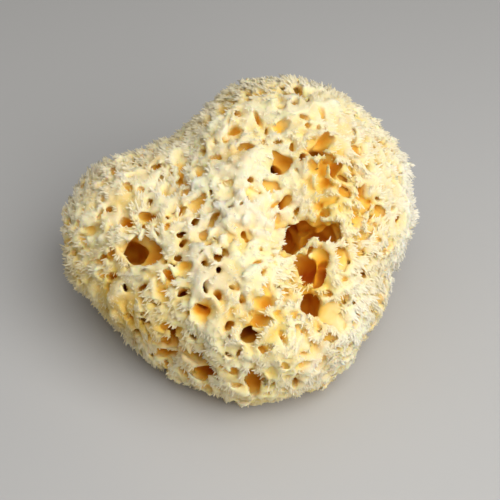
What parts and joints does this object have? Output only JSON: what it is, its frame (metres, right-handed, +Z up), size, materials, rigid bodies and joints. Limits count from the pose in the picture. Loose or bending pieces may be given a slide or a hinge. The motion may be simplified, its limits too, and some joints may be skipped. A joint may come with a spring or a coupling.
{
  "type": "sea sponge",
  "caption": "Dry natural sea sponge for washing or display: a lumpy, heart-shaped body of springy fibre, tufted all over, riddled with canals and cut flat where it rests.",
  "frame": {"origin": "middle of the bounding box, on the flat cut base that the sponge rests on", "axes": "+Z up from the cut base; +X to the right and +Y to the back as the picture shows the sponge, with the great osculum on the -X side"},
  "size_m": [0.1242, 0.1202, 0.0816],
  "materials": {
    "sponge_fibre": "dry, matt, cream fibre, ambered inside the canals"
  },
  "bodies": {
    "root": {"sponge": "sponge_fibre"}
  },
  "joints": []
}
